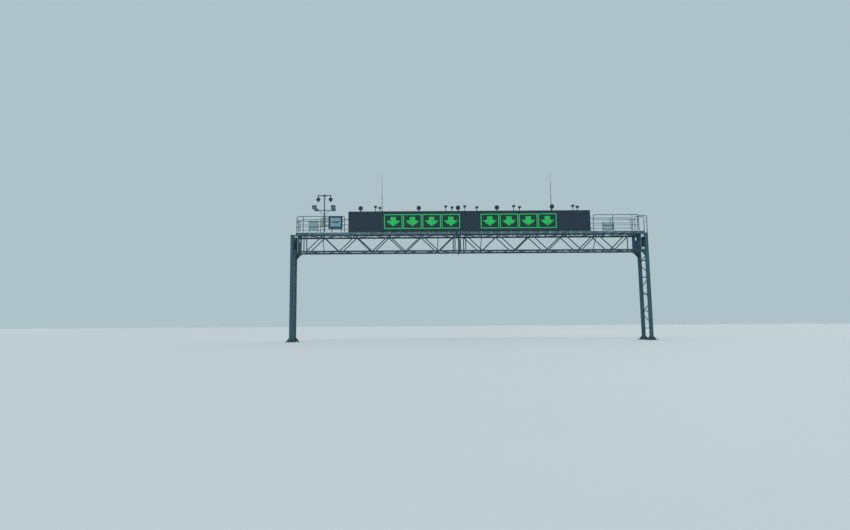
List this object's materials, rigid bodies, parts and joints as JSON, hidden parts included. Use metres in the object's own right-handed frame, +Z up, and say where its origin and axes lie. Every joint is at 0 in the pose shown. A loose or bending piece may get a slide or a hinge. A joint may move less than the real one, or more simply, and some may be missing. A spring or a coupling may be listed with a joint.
{
  "type": "overhead sign gantry",
  "caption": "Steel portal gantry over a road: twin lattice legs, box truss, walkway with handrails, long lit message board, camera mast and ladder.",
  "frame": {"origin": "on the ground, in the middle of the four feet", "axes": "+X across the road to the ladder end, +Y along the road away from the board's lit face, +Z up"},
  "size_m": [25.1, 2.1, 11.6273],
  "materials": {
    "steel_frame": "weathered grey-blue paint over galvanised steel",
    "steel_rail": "weathered grey-blue paint on tube",
    "deck_plate": "galvanised tread plate with dust",
    "board_case": "dark slate powder coat",
    "board_screen": "dark matt lamp modules",
    "lamp_housing": "grey cast housing",
    "camera_housing": "pale grey painted housing",
    "cabinet_grey": "pale grey painted cabinet, dusty",
    "panel_frame": "teal painted frame",
    "panel_glass": "pale tinted glass over a light backing",
    "rod_steel": "dull steel",
    "conduit": "black ribbed conduit"
  },
  "bodies": {
    "root": {"board_cameras": "camera_housing", "board_case": "board_case", "board_face": "board_screen", "board_lamps": "lamp_housing", "board_uprights": "steel_frame", "cabinet_left": "cabinet_grey", "cabinet_right": "cabinet_grey", "cable_riser": "conduit", "camera_mast": "steel_rail", "dome_camera_left": "camera_housing", "dome_camera_right": "camera_housing", "handrail_end_left": "steel_rail", "handrail_front_left": "steel_rail", "handrail_front_right": "steel_rail", "handrail_rear_left": "steel_rail", "handrail_rear_right": "steel_rail", "ladder": "steel_rail", "ladder_brackets": "steel_rail", "ladder_hoops": "steel_rail", "leg_bracing_left": "steel_frame", "leg_bracing_right": "steel_frame", "leg_front_left": "steel_frame", "leg_front_right": "steel_frame", "leg_head_left": "steel_frame", "leg_head_right": "steel_frame", "leg_rear_left": "steel_frame", "leg_rear_right": "steel_frame", "lightning_rod_left": "rod_steel", "lightning_rod_right": "rod_steel", "mast_arms": "steel_rail", "mast_box": "cabinet_grey", "mast_heads": "camera_housing", "panel_frame": "panel_frame", "panel_glass": "panel_glass", "splice_frame_left": "steel_frame", "splice_frame_right": "steel_frame", "truss_bottom_bracing_left": "steel_frame", "truss_bottom_bracing_right": "steel_frame", "truss_cross_braces": "steel_frame", "truss_end_plates": "steel_frame", "truss_front_left": "steel_frame", "truss_front_right": "steel_frame", "truss_rear_left": "steel_frame", "truss_rear_right": "steel_frame", "truss_top_bracing_left": "steel_frame", "truss_top_bracing_right": "steel_frame", "walkway_bearers": "steel_frame", "walkway_deck_left": "deck_plate", "walkway_deck_middle": "deck_plate", "walkway_deck_right": "deck_plate"}
  },
  "joints": []
}
